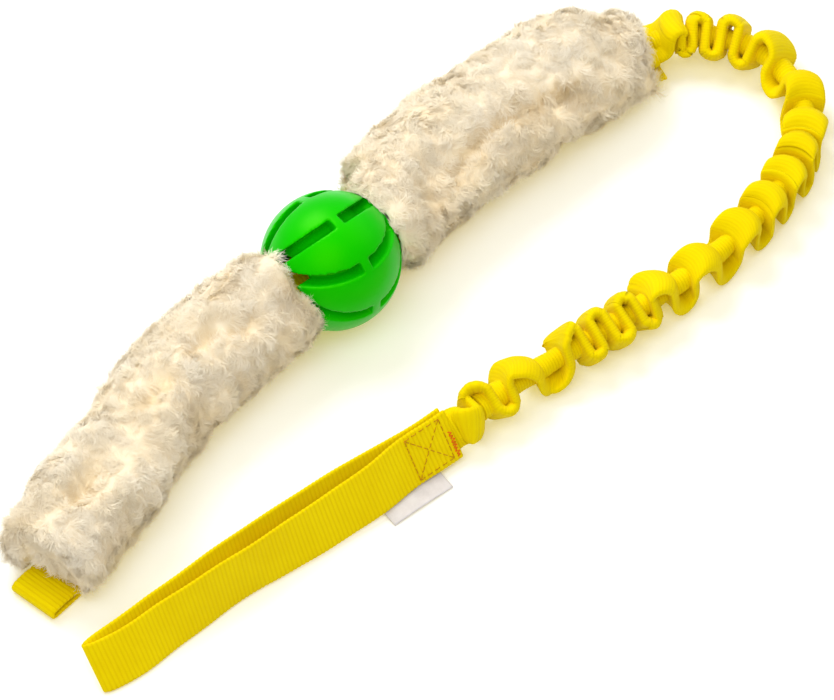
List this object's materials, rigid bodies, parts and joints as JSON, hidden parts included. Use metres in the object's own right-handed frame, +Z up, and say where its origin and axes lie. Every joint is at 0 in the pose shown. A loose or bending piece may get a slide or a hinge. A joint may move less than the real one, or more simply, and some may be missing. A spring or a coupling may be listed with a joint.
{
  "type": "ball tug toy",
  "caption": "Dog tug toy: slotted rubber ball on a strap between two sheepskin sleeves, with a gathered bungee and a webbing hand loop.",
  "frame": {"origin": "on the surface the toy lies on, under the ball's centre", "axes": "+X along the strap through the ball, towards the sleeve that carries the bungee; +Z up; the bungee and the hand loop lie on the -Y side"},
  "size_m": [0.4626, 0.1659, 0.0625],
  "materials": {
    "green_rubber": "semi-gloss moulded rubber",
    "yellow_webbing": "ribbed woven webbing",
    "hide_leather": "suede",
    "sheep_wool": "long curled wool pile",
    "elastic_rubber": "covered elastic",
    "yellow_thread": "sewing thread",
    "orange_thread": "sewing thread",
    "pale_thread": "sewing thread",
    "label_cloth": "smooth woven label"
  },
  "bodies": {
    "strap": {"core_strap": "yellow_webbing"},
    "ball": {"ball": "green_rubber"},
    "far_sleeve": {"far_hide": "hide_leather", "far_pile": "sheep_wool", "far_seam_stitches": "pale_thread", "far_bar_tack": "yellow_thread"},
    "far_loop": {"far_loop": "yellow_webbing"},
    "near_sleeve": {"near_hide": "hide_leather", "near_pile": "sheep_wool", "near_seam_stitches": "pale_thread", "near_tab": "yellow_webbing", "near_bar_tack": "yellow_thread"},
    "bungee": {"bungee_sheath": "yellow_webbing", "elastic_core": "elastic_rubber"},
    "handle": {"handle_loop": "yellow_webbing", "handle_box_stitches": "yellow_thread", "handle_bar_tack": "orange_thread", "label_stitches": "pale_thread"},
    "label": {"label": "label_cloth"}
  },
  "joints": [
    {"name": "ball_spin", "type": "hinge", "parent": "strap", "child": "ball", "pos_m": [0, 0, 0.031], "axis": [1, 0, 0], "continuous": true},
    {"name": "far_sleeve_bend", "type": "hinge", "parent": "strap", "child": "far_sleeve", "pos_m": [0, 0, 0.031], "axis": [0, 0, 1], "range_deg": [-40, 2], "deforming": ["core_strap"]},
    {"name": "near_sleeve_bend", "type": "hinge", "parent": "strap", "child": "near_sleeve", "pos_m": [0, 0, 0.031], "axis": [0, 0, 1], "range_deg": [-2, 40], "deforming": ["core_strap"]},
    {"name": "far_loop_lift", "type": "hinge", "parent": "far_sleeve", "child": "far_loop", "pos_m": [-0.1952, -0.0437, 0.0034], "axis": [-0.1521, 0.9884, 0], "range_deg": [0, 60]},
    {"name": "bungee_stretch", "type": "slide", "parent": "near_sleeve", "child": "bungee", "axis": [-1, 0, 0], "range_m": [0, 0.25], "stiffness_N_per_m": 80, "deforming": ["bungee_sheath", "elastic_core"]},
    {"name": "handle_swing", "type": "hinge", "parent": "bungee", "child": "handle", "pos_m": [-0.012, -0.0963, 0.0121], "axis": [0, 0, 1], "range_deg": [0, 60], "deforming": ["bungee_sheath"]},
    {"name": "label_flip", "type": "hinge", "parent": "handle", "child": "label", "pos_m": [-0.0413, -0.10707, 0.0021], "axis": [-1, 0, 0], "range_deg": [0, 45]}
  ]
}
